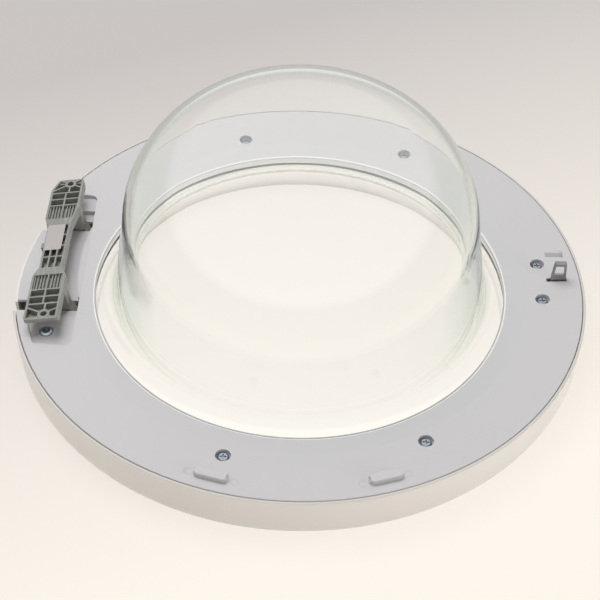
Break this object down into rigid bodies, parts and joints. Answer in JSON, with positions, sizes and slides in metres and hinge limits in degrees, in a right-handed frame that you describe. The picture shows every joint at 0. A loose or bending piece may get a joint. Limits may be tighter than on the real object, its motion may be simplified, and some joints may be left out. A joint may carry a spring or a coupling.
{
  "type": "washing machine door",
  "caption": "Round porthole door of a front-loading washing machine, with a domed glass bowl, a two-part plastic ring, a ribbed hinge bracket and a sprung latch hook.",
  "frame": {"origin": "on the ring's axis, at the front face, which lies on the floor", "axes": "+Z out of the rear face towards the drum, +X to the latch hook, -X to the hinge, +Y to the top of the hung door"},
  "size_m": [0.475, 0.4752, 0.1769],
  "materials": {
    "white_plastic": "satin moulded",
    "grey_plastic": "fine matt moulded",
    "door_glass": "clear pressed",
    "gasket_rubber": "matt",
    "hinge_plastic": "glass-filled moulded",
    "pin_steel": "bright drawn",
    "hook_metal": "cast and zinc plated",
    "carrier_plastic": "moulded",
    "screw_zinc": "blue zinc plated"
  },
  "bodies": {
    "door": {"outer_frame": "white_plastic", "inner_frame": "grey_plastic", "door_glass": "door_glass", "glass_gasket": "gasket_rubber", "hinge_pin": "pin_steel", "latch_carrier": "carrier_plastic", "latch_pin": "pin_steel", "latch_spring": "pin_steel", "frame_screws": "screw_zinc", "latch_screws": "screw_zinc", "hinge_screws": "screw_zinc"},
    "hinge": {"hinge_bracket": "hinge_plastic"},
    "latch": {"latch_hook": "hook_metal"}
  },
  "joints": [
    {"name": "hinge_swing", "type": "hinge", "parent": "door", "child": "hinge", "pos_m": [-0.21615, 0.02, 0.0135], "axis": [0, -1, 0], "range_deg": [-8, 97]},
    {"name": "latch_tilt", "type": "hinge", "parent": "door", "child": "latch", "pos_m": [0.2169, 0.005, 0.02], "axis": [0, -1, 0], "range_deg": [0, 6], "stiffness_Nm_per_rad": 0.6, "springref_deg": -17.19}
  ]
}
